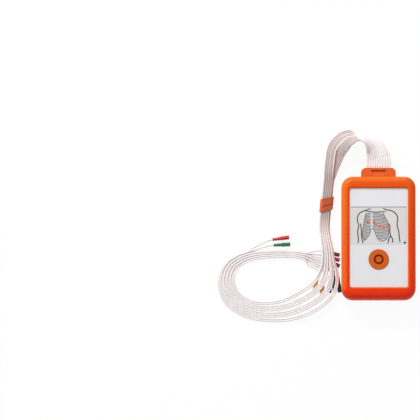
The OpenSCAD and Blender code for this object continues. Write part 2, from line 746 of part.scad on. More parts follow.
LEADS = ["ra", "la", "ll", "rl", "v1", "v2", "v3", "v4", "v5", "v6"];
function order_of(lead) = [for (i = [0:9]) if (TIPS[i][0] == lead) i][0];
function wire_of(lead) = [for (w = [0:9]) if (band_order(w) == order_of(lead)) w][0];

bumper();
front_shell();
rear_shell();
case_screws();
front_label();
indicator_lens();
power_button();
switch_dome();
main_board();
radio_module();
signal_chip();
indicator_led();
lead_header();
battery_door();
battery_cell_a();
battery_cell_b();
battery_spring_a();
battery_spring_b();
battery_plate_a();
battery_plate_b();
cable_hood();
wire_clip();
for (lead = LEADS) {
    wire(wire_of(lead));
    tip(order_of(lead));
    socket(order_of(lead));
}
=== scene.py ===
"""Looks of the handheld heart monitor: materials, printed film, lead wires, light and camera."""
import math

import bmesh
import bpy
import numpy as np
from mathutils import Matrix, Vector


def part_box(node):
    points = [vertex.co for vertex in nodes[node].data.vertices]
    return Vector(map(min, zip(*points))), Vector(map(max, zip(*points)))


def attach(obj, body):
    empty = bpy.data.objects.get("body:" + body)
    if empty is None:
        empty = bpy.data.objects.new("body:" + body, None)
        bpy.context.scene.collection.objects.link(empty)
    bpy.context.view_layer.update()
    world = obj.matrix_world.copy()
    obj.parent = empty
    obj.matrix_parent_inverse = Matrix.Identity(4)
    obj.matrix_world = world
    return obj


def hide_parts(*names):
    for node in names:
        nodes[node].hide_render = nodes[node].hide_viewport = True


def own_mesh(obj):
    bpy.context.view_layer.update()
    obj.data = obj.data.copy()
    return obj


MM = 0.001
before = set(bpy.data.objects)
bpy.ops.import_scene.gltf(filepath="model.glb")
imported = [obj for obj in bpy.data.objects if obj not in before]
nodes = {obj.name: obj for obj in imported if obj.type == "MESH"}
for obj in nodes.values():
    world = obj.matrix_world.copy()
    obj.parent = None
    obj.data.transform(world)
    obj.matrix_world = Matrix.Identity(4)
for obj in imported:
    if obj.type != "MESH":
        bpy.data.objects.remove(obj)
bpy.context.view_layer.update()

# ---- camera --------------------------------------------------------------------------------

VIEW_WIDTH = 389 * MM      # width of the photograph at the monitor
VIEW_CENTRE = Vector((-156 * MM, 26.5 * MM, 12 * MM))
VIEW_TILT = math.radians(85)
LENS = 800                 # millimetres, on a 36 mm sensor
SENSOR = 36


def make_camera():
    data = bpy.data.cameras.new("camera")
    data.lens = LENS
    data.sensor_width = SENSOR
    data.clip_end = 20
    cam = bpy.data.objects.new("camera", data)
    bpy.context.scene.collection.objects.link(cam)
    back = Vector((0, -math.cos(VIEW_TILT), math.sin(VIEW_TILT)))
    right = Vector((1, 0, 0))
    up = back.cross(right)
    rot = Matrix((right, up, back)).transposed().to_4x4()
    cam.matrix_world = Matrix.Translation(VIEW_CENTRE + back * VIEW_WIDTH * LENS / SENSOR) @ rot
    bpy.context.scene.camera = cam


make_camera()

# ---- lead routes, in millimetres, as in the part's source -----------------------------------

WIRES = 10
HALF = 5                   # wires in each half of the ribbon: 0 to 4 inner, 5 to 9 outer
WIRE_D = 1.7
TIP_Z = 2.0
FAN_Z = 1.2
TIP_LEAD_IN = 4            # straight run of a wire into its tip
EXIT_Y, EXIT_Z, EXIT_PITCH = 65.3, 12, 2.28
PACK_LIFT = math.sqrt(1.08) * WIRE_D    # between the middles of neighbouring wires in the band
# middle x, y and z, roll in degrees, pitch, 1 for halves side by side to 0 for stacked, lift of the outer
RIBBON = np.array([
    [0, EXIT_Y, EXIT_Z, 0, EXIT_PITCH, 1, 0], [0.2, 74, 12.6, 3, 2.24, 1, 0],
    [-2.6, 83.4, 13.4, 15, 1.98, 1, 0], [-6.8, 89.2, 14, 40, 1.88, 1, 0],
    [-12, 93, 14.4, 60, 1.86, 1, 0], [-17.6, 94.6, 14.4, 62, 1.86, 1, 0],
    [-23.4, 94.1, 13.8, 46, 1.86, 1, 0.2], [-30.8, 91.2, 12, 20, 1.84, 1, 0.8],
    [-37.9, 83.4, 9, 4, 1.82, 1, 1.6], [-41.2, 73.8, 6.5, 0, 1.8, 0.72, 1.85],
    [-43.6, 64.6, 4.4, 0, 1.78, 0.42, 1.84], [-45.4, 55.8, 2.9, 0, 1.75, 0.14, 1.74]])
# middle x, y and z, step sideways from wire to wire, extra gap between the groups of wires
BAND = np.array([
    [-46.2, 50, 2.3, 0.87, 0], [-47.2, 40, 2.3, 0.87, 0], [-48.2, 30, 2.3, 0.87, 0],
    [-49.2, 20, 2.3, 0.87, 0], [-49.8, 10.5, 3, 0.87, 0], [-48.9, 1, 4.6, 0.88, 0.1],
    [-47.1, -10, 5.5, 0.95, 0.3], [-46.2, -22, 5.5, 1.1, 0.6], [-46.4, -33, 5.5, 1.52, 1.4],
    [-49.4, -43.5, 5.5, 1.88, 1.8], [-57.5, -52.5, 5.5, 1.85, 2.2], [-71, -60.5, 4.2, 1.85, 2],
    [-86, -65.5, 1.3, 1.82, 1.2], [-103, -67, 0.9, 1.8, 0.4], [-120, -64.5, 0.9, 1.8, 0],
    [-135, -55, 0.9, 1.8, 0], [-141, -39, 0.9, 1.6, 0], [-136, -24, 0.9, 1.3, 0],
    [-121, -15.5, 0.9, 1.05, 0], [-104, -13, 0.9, 0.9, 0], [-88, -12.6, 0.9, 0.87, 0],
    [-76, -12.9, 0.9, 0.87, 0], [-67, -14.4, 0.9, 1.05, 0]])
GROUP = [-1.5, -1.5, -0.5, -0.5, -0.5, 0.5, 0.5, 0.5, 1.5, 1.5]
# name, colour, tail x and y, heading, last row of the band that its wire follows, points from there
TIPS = [
    ("v2", "yellow", -56.18, -35.43, -104.81, 22, [(-64.65, -23.76), (-56.96, -27.6)]),
    ("la", "yellow", -50.76, -35.42, -96.79, 22, [(-60.84, -23.03), (-53.48, -26.19)]),
    ("v5", "black", -44.96, -34.22, -90.82, 22, [(-55.38, -23.52), (-46.77, -27.21)]),
    ("ll", "green", -41.24, -33.62, -87.9, 22, [(-53.62, -21.98), (-43.93, -26.41)]),
    ("rl", "black", -37.47, -33.95, -83.64, 22, [(-47.94, -22.07), (-39.8, -26.78)]),
    ("v6", "violet", -49.94, -18.56, -23.99, 22, []),
    ("ra", "red", -50.73, -15.29, -15.46, 22, []),
    ("v4", "brown", -50.91, -11.18, -13.04, 22, []),
    ("v3", "green", -97, -5.4, 3, 18, []),
    ("v1", "red", -98, -0.2, 8, 18, []),
]
CURVE_STEPS = 8


def row(table, i):
    return table[min(max(i, 0), len(table) - 1)]


def smooth(table, i, t):
    """A point of the smooth curve through a table's rows, t of the way from row i to the next."""
    p, q, r, s = (row(table, i + k) for k in (-1, 0, 1, 2))
    return 0.5 * (2 * q + (r - p) * t + (2 * p - 5 * q + 4 * r - s) * t * t
                  + (3 * q - p - 3 * r + s) * t ** 3)


def heading(table, k, t):
    """A short step ahead along a table's curve."""
    return smooth(table, k, t + 0.02) - smooth(table, k, t - 0.02)


def band_order(wire):
    """The wire's place across the band, where the two halves of the ribbon lie between each other."""
    return WIRES - 1 - 2 * (wire % HALF) - wire // HALF


def band_point(wire, k, t):
    order = band_order(wire)
    c = smooth(BAND, k, t)
    ahead = heading(BAND, k, t)
    side = np.array([-ahead[1], ahead[0]]) / math.hypot(ahead[0], ahead[1])
    lift = math.sqrt(max(0, PACK_LIFT ** 2 - c[3] ** 2)) if order % 2 == 0 else 0
    out = (order - (WIRES - 1) / 2) * c[3] + GROUP[order] * c[4]
    return np.array([c[0] + side[0] * out, c[1] + side[1] * out, c[2] + lift])


def ribbon_point(wire, k, t):
    c = smooth(RIBBON, k, t)
    ahead = heading(RIBBON, k, t)[:3]
    ahead /= np.linalg.norm(ahead)
    left = np.cross([0, 0, 1], ahead)
    left /= np.linalg.norm(left)
    up = np.cross(ahead, left)
    roll = math.radians(c[3])
    inner = wire < HALF
    reach = ((HALF - 1) / 2 - wire % HALF + (HALF / 2 if inner else -HALF / 2) * c[5]) * c[4]
    over = 0 if inner else c[6]
    return (c[:3] + reach * (math.cos(roll) * left + math.sin(roll) * up)
            + over * (math.cos(roll) * up - math.sin(roll) * left))


def tip_frame(order):
    """Tail point and heading of a lead tip."""
    _, _, x, y, angle, _, _ = TIPS[order]
    a = math.radians(angle)
    return np.array([x, y, TIP_Z]), np.array([math.cos(a), math.sin(a), 0])


def wire_stations(wire):
    """The points that the wire's CAD tube passes through."""
    order = band_order(wire)
    tail, head = tip_frame(order)
    last_row, fan = TIPS[order][5:]
    points = [ribbon_point(wire, k, s / 2) for k in range(len(RIBBON) - 1) for s in range(2)]
    points.append(ribbon_point(wire, len(RIBBON) - 2, 1))
    points += [band_point(wire, k, s / 2) for k in range(last_row) for s in range(2)]
    points.append(band_point(wire, last_row - 1, 1))
    points += [np.array([x, y, FAN_Z]) for x, y in fan]
    return np.array(points + [tail - TIP_LEAD_IN * head, tail])


def wire_route(wire):
    """One smooth curve through the wire's stations, which allows for their uneven spacing."""
    points = wire_stations(wire)
    gaps = np.linalg.norm(np.diff(points, axis=0), axis=1)[:, None] ** 0.5
    slopes = np.diff(points, axis=0) / gaps
    turns = (gaps[1:] * slopes[:-1] + gaps[:-1] * slopes[1:]) / (gaps[:-1] + gaps[1:])
    turns = np.vstack([slopes[:1], turns, slopes[-1:]])
    fine = []
    for i in range(len(gaps)):
        for t in np.arange(CURVE_STEPS) / CURVE_STEPS:
            fine.append((1 + 2 * t) * (1 - t) ** 2 * points[i] + t * (1 - t) ** 2 * gaps[i] * turns[i]
                        + t * t * (3 - 2 * t) * points[i + 1] - t * t * (1 - t) * gaps[i] * turns[i + 1])
    return np.array(fine + [points[-1]])


# ---- materials -----------------------------------------------------------------------------

BUTTON_Y = -20.2
WEAR_FROM, WEAR_TO = 0.02, 0.25    # where edge wear sets in and is full: 1 less the dot of both normals


def srgb(r, g, b):
    """A colour written as the 0 to 255 values that it shows."""
    shares = [c / 255 for c in (r, g, b)]
    return tuple((c / 12.92 if c <= 0.04045 else ((c + 0.055) / 1.055) ** 2.4) for c in shares) + (1,)


def shade(colour, k):
    return tuple(c * k for c in colour[:3]) + (1,)


def grey(k):
    return (k, k, k, 1)


class Nodes:
    """A short way to add shader nodes and link them."""

    def __init__(self, name):
        self.material = bpy.data.materials.new(name)
        self.material.use_nodes = True
        self.tree = self.material.node_tree
        self.tree.nodes.clear()
        self.output = self.tree.nodes.new("ShaderNodeOutputMaterial")
        self.place = self.tree.nodes.new("ShaderNodeTexCoord").outputs["Object"]

    def add(self, kind, **values):
        node = self.tree.nodes.new("ShaderNode" + kind)
        for key, value in values.items():
            if key in node.inputs.keys():
                self.put(node.inputs[key], value)
            elif key.replace("_", " ") in node.inputs.keys():
                self.put(node.inputs[key.replace("_", " ")], value)
            else:
                setattr(node, key, value)
        return node

    def put(self, socket, value):
        if isinstance(value, bpy.types.NodeSocket):
            self.tree.links.new(value, socket)
        else:
            socket.default_value = value

    def noise(self, size_mm, detail=2, rough=0.5):
        """Noise whose features are about size_mm across."""
        return self.add("TexNoise", Vector=self.place, Scale=1 / (size_mm * MM), Detail=detail,
                        Roughness=rough).outputs["Fac"]

    def ramp(self, fac, low, high, start=0.3, end=0.7):
        node = self.add("ValToRGB", Fac=fac)
        node.color_ramp.elements[0].position = start
        node.color_ramp.elements[1].position = end
        node.color_ramp.elements[0].color = low
        node.color_ramp.elements[1].color = high
        return node.outputs["Color"]

    def bands(self, fac, stops, blend="CONSTANT"):
        """A colour ramp with any number of stops: place and colour."""
        node = self.add("ValToRGB", Fac=fac)
        ramp = node.color_ramp
        ramp.interpolation = blend
        while len(ramp.elements) < len(stops):
            ramp.elements.new(0.5)
        for element, (place, _) in zip(ramp.elements, stops):
            element.position = place
        for element, (_, colour) in zip(ramp.elements, stops):
            element.color = colour
        return node.outputs["Color"]

    def span(self, fac, low, high):
        return self.add("MapRange", Value=fac, To_Min=low, To_Max=high).outputs["Result"]

    def rise(self, value, start, end, top=1):
        """0 where the value is at start, and top where it is at end."""
        return self.add("MapRange", Value=value, From_Min=start, From_Max=end, To_Max=top).outputs["Result"]

    def along(self, axis, start_mm, end_mm):
        """0 to 1 along one axis of the part."""
        return self.rise(self.add("SeparateXYZ", Vector=self.place).outputs[axis], start_mm * MM, end_mm * MM)

    def maths(self, operation, one, two=None):
        node = self.add("Math", operation=operation)
        self.put(node.inputs[0], one)
        if two is not None:
            self.put(node.inputs[1], two)
        return node.outputs[0]

    def vector(self, operation, one, two):
        """The single number that a vector operation gives."""
        node = self.add("VectorMath", operation=operation)
        self.put(node.inputs[0], one)
        self.put(node.inputs[1], two)
        return node.outputs["Value"]

    def mix(self, fac, low, high, **values):
        node = self.add("Mix", data_type="RGBA", **values)
        self.put(node.inputs[0], fac)
        self.put(node.inputs[6], low)
        self.put(node.inputs[7], high)
        return node.outputs[2]

    def drift(self, colour, noise, low, high):
        """The colour made uneven by noise, between low and high times itself."""
        return self.mix(1.0, colour, self.ramp(noise, low, high), blend_type="MULTIPLY")

    def bump(self, height, distance_mm, strength=1, normal=None):
        node = self.add("Bump", Height=height, Strength=strength, Distance=distance_mm * MM)
        if normal is not None:
            self.put(node.inputs["Normal"], normal)
        return node.outputs["Normal"]

    def edge_wear(self, radius_mm):
        """0 on flat faces and towards 1 along edges, broken up by noise."""
        soft = self.add("Bevel", Radius=radius_mm * MM, samples=4).outputs["Normal"]
        hard = self.add("NewGeometry").outputs["Normal"]
        away = self.maths("SUBTRACT", 1.0, self.vector("DOT_PRODUCT", soft, hard))
        patches = self.span(self.noise(2.5, 4, 0.6), 0.1, 0.9)
        return self.maths("MULTIPLY", self.rise(away, WEAR_FROM, WEAR_TO), patches)

    def surface(self, **values):
        shader = self.add("BsdfPrincipled", **values)
        self.tree.links.new(shader.outputs["BSDF"], self.output.inputs["Surface"])
        return self.material


def moulded(name, colour, grain_mm=0.35, grain=0.02, rough=(0.4, 0.5), vary=0.06, patch_mm=14, worn=None,
            wear_mm=0.5, **more):
    """Moulded plastic or silicone: slight colour drift, uneven gloss, a fine grain and paler worn edges."""
    n = Nodes(name)
    base = n.ramp(n.noise(patch_mm, 3), shade(colour, 1 - vary), shade(colour, 1 + vary / 2))
    if worn:
        base = n.mix(n.edge_wear(wear_mm), base, worn)
    return n.surface(Base_Color=base, Roughness=n.span(n.noise(patch_mm / 4, 4), *rough),
                     Normal=n.bump(n.noise(grain_mm, 3, 0.6), grain), **more)


def silicone():
    """Soft orange skin with dust in its grain and rubbed edges; painted shade makes it a little redder
    towards the foot.
    Painted highlight pales the flanks facing the upper left; the pale rubbed edges are partly painted
    highlight."""
    n = Nodes("orange_silicone")
    # Painted shade: darker and redder towards the foot, more orange towards the top.
    tone = n.ramp(n.along(1, -57, 57), srgb(228, 48, 6), srgb(226, 84, 4), 0.02, 0.98)
    specks = n.rise(n.noise(0.7), 0.72, 0.8, 0.25)
    dust_and_painted_shade = n.mix(specks, n.drift(tone, n.noise(18, 3), grey(0.95), grey(1.03)), srgb(232, 130, 80))
    # Painted highlight: paler orange where the surface faces the upper left, towards the key light.
    faces_key_light = n.vector("DOT_PRODUCT", n.add("NewGeometry").outputs["Normal"], (-0.65, 0.65, 0.39))
    with_painted_highlight = n.mix(n.rise(faces_key_light, 0.5, 0.75, 0.7), dust_and_painted_shade, srgb(230, 116, 30))
    grain = n.bump(n.noise(0.3, 3, 0.6), 0.03)
    # The pale rubbed edges are partly wear and partly painted highlight on the rounded edges.
    return n.surface(Base_Color=n.mix(n.edge_wear(1.5), with_painted_highlight, srgb(234, 124, 44)),
                     Roughness=n.span(n.noise(4, 4), 0.42, 0.56),
                     Normal=n.bump(n.noise(9, 2), 0.25, 0.5, grain),
                     Subsurface_Weight=0.1, Subsurface_Radius=(1.0, 0.22, 0.06), Subsurface_Scale=0.003,
                     Specular_IOR_Level=0.15)


def button_look():
    """The ring pressed into the button is painted darker than its face: painted shade in the groove."""
    n = Nodes("orange_button")
    split = n.add("SeparateXYZ", Vector=n.place)
    flat = n.add("CombineXYZ", X=split.outputs[0], Y=split.outputs[1])
    radius = n.rise(n.vector("DISTANCE", flat.outputs[0], (0, BUTTON_Y * MM, 0)), 0, 10 * MM)
    # The ring colour is painted shade in the groove.
    face, ring, middle = srgb(206, 92, 6), srgb(120, 28, 4), srgb(204, 92, 14)
    stops = [(0, middle), (0.26, middle), (0.3, ring), (0.44, ring), (0.5, face), (1, face)]
    tone = n.bands(radius, stops, "EASE")
    return n.surface(Base_Color=n.drift(tone, n.noise(5, 3), grey(0.95), grey(1.03)),
                     Roughness=n.span(n.noise(2, 4), 0.36, 0.46), Normal=n.bump(n.noise(0.2, 3, 0.6), 0.015),
                     Specular_IOR_Level=0.2)


def turned(x, y, a):
    return x * math.cos(a) - y * math.sin(a), x * math.sin(a) + y * math.cos(a)


# The clip's seam, as a line on the part: a direction across it, and how far along that it lies.
CLIP_AT = (-47.95, 32.5)
CLIP_TURN = math.atan(0.1)
SEAM_SLANT = math.radians(21)
SEAM_IN_CLIP = turned(*turned(1.35, -1.2, SEAM_SLANT), -CLIP_TURN)
SEAM_ACROSS = (-math.sin(SEAM_SLANT - CLIP_TURN), math.cos(SEAM_SLANT - CLIP_TURN), 0)
SEAM_AT = sum((SEAM_IN_CLIP[i] + CLIP_AT[i]) * SEAM_ACROSS[i] for i in range(2))


def clip_look():
    """The clip's rail on the left is brighter and more orange than its face, which is duller towards the
    right.
    A dark seam crosses the front, to the right of the rail."""
    n = Nodes("orange_clip")
    tone = n.ramp(n.along(0, -54, -48), srgb(222, 92, 34), srgb(182, 84, 52), 0.3, 0.6)
    base = n.drift(tone, n.noise(3, 3), grey(0.93), grey(1.04))
    base = n.mix(n.edge_wear(0.8), base, srgb(234, 116, 62))
    across = n.vector("DOT_PRODUCT", n.place, SEAM_ACROSS)
    offset = n.add("MapRange", Value=across, From_Min=(SEAM_AT - 1) * MM, From_Max=(SEAM_AT + 1) * MM,
                   To_Min=-1, To_Max=1, clamp=False).outputs["Result"]
    seam = n.rise(n.maths("ABSOLUTE", offset), 0.5, 0.3)
    seam = n.maths("MULTIPLY", seam, n.along(0, -51.9, -51.7))
    seam = n.maths("MULTIPLY", seam, n.along(2, 3.8, 4))
    return n.surface(Base_Color=n.mix(seam, base, srgb(96, 34, 20)),
                     Roughness=n.span(n.noise(2, 4), 0.38, 0.5), Normal=n.bump(n.noise(0.25, 3, 0.6), 0.02),
                     Specular_IOR_Level=0.25)


# The fold at the top of the ribbon's turn: a direction across it, and how far along that it lies.
# The wires' painted shade begins at this fold.
FOLD_ACROSS = (0.782, 0.623, 0)
FOLD_AT = 43.5
FOLD_HALF = 1.2


def wire_look(name, upper_arch_tone):
    """A pale soft jacket with painted shade, grey from the fold at the top of the turn to just past the clip.
    """
    n = Nodes(name)
    across = n.vector("DOT_PRODUCT", n.place, FOLD_ACROSS)
    # Unshaded near the hood, on the hood side of the fold and past the clip; painted shade between.
    unshaded = n.along(0, -16, -12)
    for other in (n.rise(across, (FOLD_AT - FOLD_HALF) * MM, (FOLD_AT + FOLD_HALF) * MM), n.along(1, 26, -4)):
        unshaded = n.maths("MAXIMUM", unshaded, other)
    # The painted shade: a grey tone, a little lighter higher up.
    plain = n.ramp(n.along(1, 36, 78), srgb(191, 176, 173), srgb(198, 184, 182), 0, 1)
    # A wire's own tone on the top of the arch, which for one wire is a painted highlight.
    painted_shade_and_highlight = n.mix(n.along(1, 56, 72), plain, upper_arch_tone or plain)
    # The unshaded stretches take the lit pale colour.
    tone = n.mix(n.span(unshaded, -0.1, 1.1), painted_shade_and_highlight, srgb(238, 232, 232))
    return n.surface(Base_Color=n.drift(tone, n.noise(6, 4, 0.6), (0.95, 0.94, 0.94, 1), grey(1.03)),
                     Roughness=n.span(n.noise(1.5, 4), 0.32, 0.46),
                     Normal=n.bump(n.noise(0.3, 3, 0.6), 0.004), Specular_IOR_Level=0.3)


def cell_look(name, base_y, stud_y):
    """A plain two-colour sleeve with bare steel at both ends."""
    n = Nodes(name)
    place = n.along(1, base_y, stud_y)
    starts = (0, 0.02, 0.66, 0.955)
    tones = (srgb(196, 196, 198), srgb(46, 48, 54), srgb(200, 128, 70), srgb(196, 196, 198))
    metals = (grey(1), grey(0), grey(0.6), grey(1))
    return n.surface(Base_Color=n.bands(place, list(zip(starts, tones))),
                     Metallic=n.bands(place, list(zip(starts, metals))),
                     Roughness=n.span(n.noise(3, 4), 0.22, 0.36), Normal=n.bump(n.noise(0.3, 2), 0.005))


def board_look():
    """Solder resist over copper tracks, with tinned pads."""
    n = Nodes("solder_resist")
    tracks = n.add("TexBrick", Vector=n.place, Scale=1 / (2.2 * MM), Mortar_Size=0.06, Brick_Width=1.7,
                   Row_Height=0.45).outputs["Fac"]
    green = n.mix(tracks, srgb(20, 84, 46), srgb(44, 124, 66))
    pads = n.rise(n.add("TexVoronoi", Vector=n.place, Scale=1 / (5 * MM)).outputs["Distance"], 0.1, 0.08)
    return n.surface(Base_Color=n.mix(pads, green, srgb(206, 204, 190)), Metallic=n.span(pads, 0, 0.9),
                     Roughness=n.span(n.noise(3, 3), 0.25, 0.38), Normal=n.bump(tracks, 0.02))


MATERIALS = {}


def make_materials():
    m = MATERIALS
    m["bumper"] = silicone()
    m["hood"] = moulded("orange_moulding", srgb(219, 92, 26), 0.25, 0.02, (0.36, 0.46), 0.05, 9,
                        srgb(238, 140, 84), Specular_IOR_Level=0.25)
    m["clip"] = clip_look()
    m["button"] = button_look()
    m["shell"] = moulded("white_shell", srgb(223, 223, 226), 0.4, 0.02, (0.4, 0.5), 0.03, 25,
                         srgb(238, 238, 238))
    m["film"] = moulded("printed_film", srgb(214, 212, 211), 0.15, 0.006, (0.26, 0.34), 0.02, 30)
    m["lens"] = moulded("blue_lens", srgb(28, 72, 186), 0.2, 0.005, (0.12, 0.2), 0.05, 1)
    # Every wire jacket carries painted shade on the turn.
    m["wire"] = wire_look("wire_jacket", None)
    m["wire_fair"] = wire_look("wire_jacket_fair", srgb(218, 203, 200))
    # This jacket has a painted highlight on the top of the arch.
    m["wire_painted_highlight"] = wire_look("wire_jacket_painted_highlight", srgb(243, 228, 224))
    m["steel"] = moulded("nickel", srgb(190, 190, 192), 0.15, 0.005, (0.2, 0.34), 0.08, 2, Metallic=1.0)
    m["brass"] = moulded("gold_flash", srgb(214, 172, 90), 0.12, 0.003, (0.18, 0.3), 0.08, 1, Metallic=1.0)
    m["board"] = board_look()
    m["chip"] = moulded("chip_black", srgb(40, 40, 42), 0.15, 0.01, (0.5, 0.6), 0.1, 2, srgb(90, 90, 92), 0.2)
    m["can"] = moulded("shield_can", srgb(186, 188, 190), 0.4, 0.01, (0.25, 0.4), 0.06, 3, Metallic=1.0)
    m["ivory"] = moulded("header_ivory", srgb(222, 214, 192), 0.2, 0.01, (0.4, 0.5), 0.05, 3)
    m["dome"] = moulded("clear_rubber", srgb(196, 196, 190), 0.2, 0.01, (0.35, 0.45), 0.05, 3)
    m["cell_a"] = cell_look("cell_sleeve_a", -24.9, 19.6)
    m["cell_b"] = cell_look("cell_sleeve_b", 13.9, -30.6)
    tips = {"red": (196, 30, 38), "yellow": (238, 196, 40), "green": (26, 112, 62), "black": (34, 34, 38),
            "brown": (98, 52, 34), "violet": (78, 44, 112)}
    for name, rgb in tips.items():
        pale = tuple(c + (255 - c) * 0.3 for c in rgb)
        m["tip_" + name] = moulded("tip_" + name, srgb(*rgb), 0.2, 0.012, (0.34, 0.46), 0.08, 3,
                                   srgb(*pale), 0.25)
    m["ink"] = moulded("ink_dark", srgb(52, 52, 55), 0.2, 0.002, (0.3, 0.4), 0.12, 3)
    m["ink_light"] = moulded("ink_grey", srgb(98, 98, 101), 0.2, 0.002, (0.3, 0.4), 0.1, 3)
    m["ink_red"] = moulded("ink_red", srgb(222, 92, 62), 0.2, 0.002, (0.3, 0.4), 0.1, 3)


def dress(node, material):
    mesh = nodes[node].data
    mesh.materials.clear()
    mesh.materials.append(MATERIALS[material])
    mesh.polygons.foreach_set("material_index", [0] * len(mesh.polygons))


make_materials()
for node_name, look in {
        "bumper": "bumper", "front_shell": "shell", "rear_shell": "shell", "case_screws": "steel",
        "front_label": "film", "indicator_lens": "lens", "power_button": "button", "switch_dome": "dome",
        "main_board": "board", "radio_module": "can", "signal_chip": "chip", "indicator_led": "ivory",
        "lead_header": "ivory", "battery_door": "shell", "battery_cell_a": "cell_a",
        "battery_cell_b": "cell_b", "battery_spring_a": "steel", "battery_spring_b": "steel",
        "battery_plate_a": "steel", "battery_plate_b": "steel", "cable_hood": "hood",
        "wire_clip": "clip"}.items():
    dress(node_name, look)
for tip_name, colour, *_ in TIPS:
    dress("tip_" + tip_name, "tip_" + colour)
    dress("socket_" + tip_name, "brass")
    dress("wire_" + tip_name, "wire")

# ---- new pieces ----------------------------------------------------------------------------


def add_piece(name, mesh, material, body="case"):
    piece = bpy.data.objects.new(name, mesh)
    mesh.materials.append(MATERIALS[material])
    bpy.context.scene.collection.objects.link(piece)
    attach(piece, body)
    return piece


def bridge(mesh, rings, closed=False):
    """Faces between each ring of points and the next, and back to the first where closed."""
    for one, two in zip(rings, rings[1:] + (rings[:1] if closed else [])):
        for i in range(len(one)):
            j = (i + 1) % len(one)
            mesh.faces.new((one[i], one[j], two[j], two[i]))


def cap(mesh, rings):
    mesh.faces.new(rings[0][::-1])
    mesh.faces.new(rings[-1])


def mesh_data(mesh, name):
    bmesh.ops.recalc_face_normals(mesh, faces=mesh.faces)
    data = bpy.data.meshes.new(name)
    mesh.to_mesh(data)
    mesh.free()
    return data


def circle(count):
    """The angles that go round a circle in even steps."""
    return [2 * math.pi * k / count for k in range(count)]


# ---- lead wires ----------------------------------------------------------------------------

# Wire 5 has a painted highlight on the top of the arch; wire 7 has a fairer tone there.
HIGHLIGHT_WIRE, FAIR_WIRE = 5, 7
WIRE_FULLNESS = 1.02       # makes up for the flat sides that a wire is drawn with
WEB_HALF = 0.52
WEB_ROWS = (1.2, 10.4)     # the rows of RIBBON between which each half is one flat cable


def make_web(name, wires):
    """The thin web that joins the five wires of one half between the hood and the clip."""
    first, last = (round(r * 2 * CURVE_STEPS) for r in WEB_ROWS)
    lines = [wire_route(w)[first:last] for w in wires]
    middle = lines[HALF // 2]
    mesh = bmesh.new()
    rings = []
    for i in range(len(middle)):
        ahead = middle[min(i + 1, len(middle) - 1)] - middle[max(i - 1, 0)]
        up = np.cross(ahead, lines[0][i] - lines[-1][i])
        up *= WEB_HALF / np.linalg.norm(up)
        ring = [line[i] + up for line in lines] + [line[i] - up for line in lines[::-1]]
        rings.append([mesh.verts.new(tuple(p * MM)) for p in ring])
    bridge(mesh, rings)
    cap(mesh, rings)
    for face in mesh.faces:
        face.smooth = len(face.verts) == 4
    return add_piece(name, mesh_data(mesh, name), "wire")


def make_wire(wire):
    tip_name = TIPS[band_order(wire)][0]
    route = wire_route(wire) * MM
    data = bpy.data.curves.new("lead_" + tip_name, "CURVE")
    data.dimensions = "3D"
    data.bevel_depth = WIRE_D / 2 * MM * WIRE_FULLNESS
    data.bevel_resolution = 4
    data.use_fill_caps = True
    spline = data.splines.new("POLY")
    spline.points.add(len(route) - 1)
    spline.points.foreach_set("co", np.hstack([route, np.ones((len(route), 1))]).ravel())
    spline.use_smooth = True
    look = {HIGHLIGHT_WIRE: "wire_painted_highlight", FAIR_WIRE: "wire_fair"}.get(wire, "wire")
    lead = add_piece("lead_" + tip_name, data, look)
    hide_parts("wire_" + tip_name)
    on_it = [nodes["tip_" + tip_name], nodes["socket_" + tip_name]]
    if wire == 0:
        on_it += [nodes["cable_hood"], nodes["wire_clip"]]
    if wire % HALF == 0:
        on_it.append(make_web("web_" + ("outer" if wire else "inner"), range(wire, wire + HALF)))


for wire_number in range(WIRES):
    make_wire(wire_number)

# ---- flat print ----------------------------------------------------------------------------

FILM_TOP = 21.75
SHAPE_LIFT = 0.0002        # keeps the shapes of one print from lying in one plane


def curve_points(points, steps=8):
    """A smooth curve through the given points."""
    table = np.array(points, float)
    fine = [smooth(table, i, s / steps) for i in range(len(table) - 1) for s in range(steps)]
    return np.array(fine + [table[-1]])


def x_at(points, y):
    """Where a line of points crosses the given height."""
    table = np.array(sorted(points, key=lambda p: p[1]), float)
    return float(np.interp(y, table[:, 1], table[:, 0]))


class Print:
    """Flat shapes gathered into one thin mesh. Each shape lies a hair above the one before it."""

    def __init__(self):
        self.verts, self.faces, self.height = [], [], 0

    def add(self, points, faces):
        first = len(self.verts)
        self.verts += [(x, y, self.height) for x, y in points]
        self.faces += [tuple(first + i for i in face) for face in faces]
        self.height += SHAPE_LIFT

    def stroke(self, points, width, taper=0.4):
        """A line that narrows a little at its ends."""
        line = curve_points(points)
        ahead = np.gradient(line, axis=0)
        side = np.stack([-ahead[:, 1], ahead[:, 0]], 1) / np.linalg.norm(ahead, axis=1)[:, None]
        run = np.linspace(0, 1, len(line))
        ends = np.clip(np.minimum(run, 1 - run) * 10, 0, 1) ** 0.5
        half = width / 2 * (taper + (1 - taper) * ends)[:, None]
        edge = np.stack([line + side * half, line - side * half], 1).reshape(-1, 2)
        self.add(edge, [(2 * i, 2 * i + 1, 2 * i + 3, 2 * i + 2) for i in range(len(line) - 1)])

    def disc(self, x, y, r, sides=24):
        self.add([(x + r * math.cos(a), y + r * math.sin(a)) for a in circle(sides)], [tuple(range(sides))])

    def make(self, name, lift, material):
        mesh = bpy.data.meshes.new(name)
        z = FILM_TOP + lift
        mesh.from_pydata([(x * MM, y * MM, (z + h) * MM) for x, y, h in self.verts], [], self.faces)
        add_piece(name, mesh, material)


